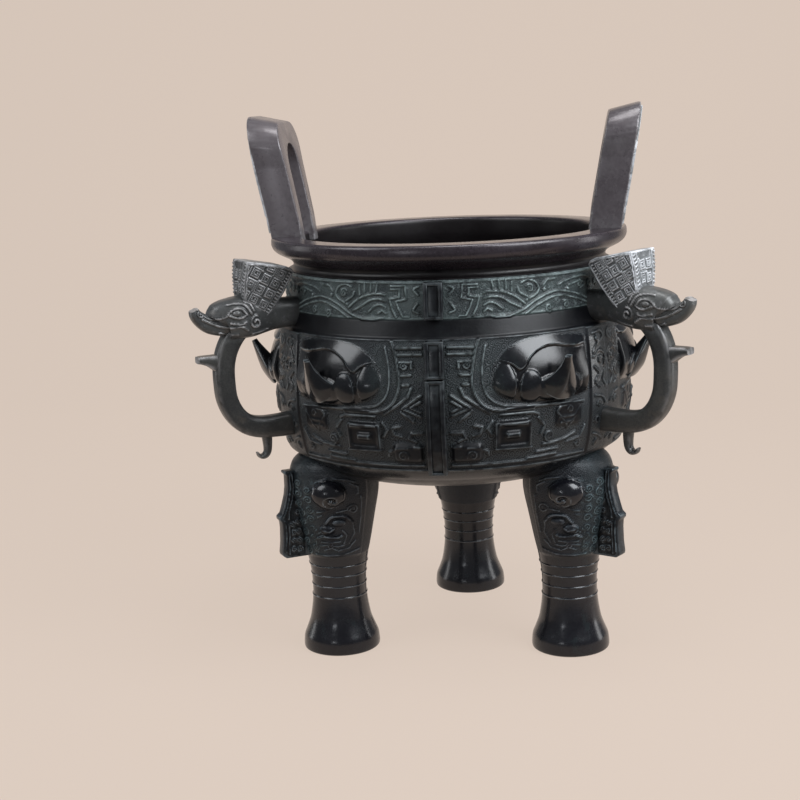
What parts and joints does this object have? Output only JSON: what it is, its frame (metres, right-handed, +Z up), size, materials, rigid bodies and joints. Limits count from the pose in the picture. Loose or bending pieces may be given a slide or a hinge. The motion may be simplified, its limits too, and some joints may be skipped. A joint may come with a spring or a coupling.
{
  "type": "bronze ding vessel",
  "caption": "Large round bronze tripod ding with two standing ears, animal-head handles, mask relief on the bowl and waisted legs with flanges.",
  "frame": {"origin": "middle of the bounding box, on the plane the three feet stand on", "axes": "+Z up, -Y to the front flange of the bowl, +X to the ear on the viewer's right"},
  "size_m": [1.0928, 1.0554, 1.22],
  "materials": {
    "bronze": "satin"
  },
  "bodies": {
    "root": {"ding_vessel": "bronze"}
  },
  "joints": []
}
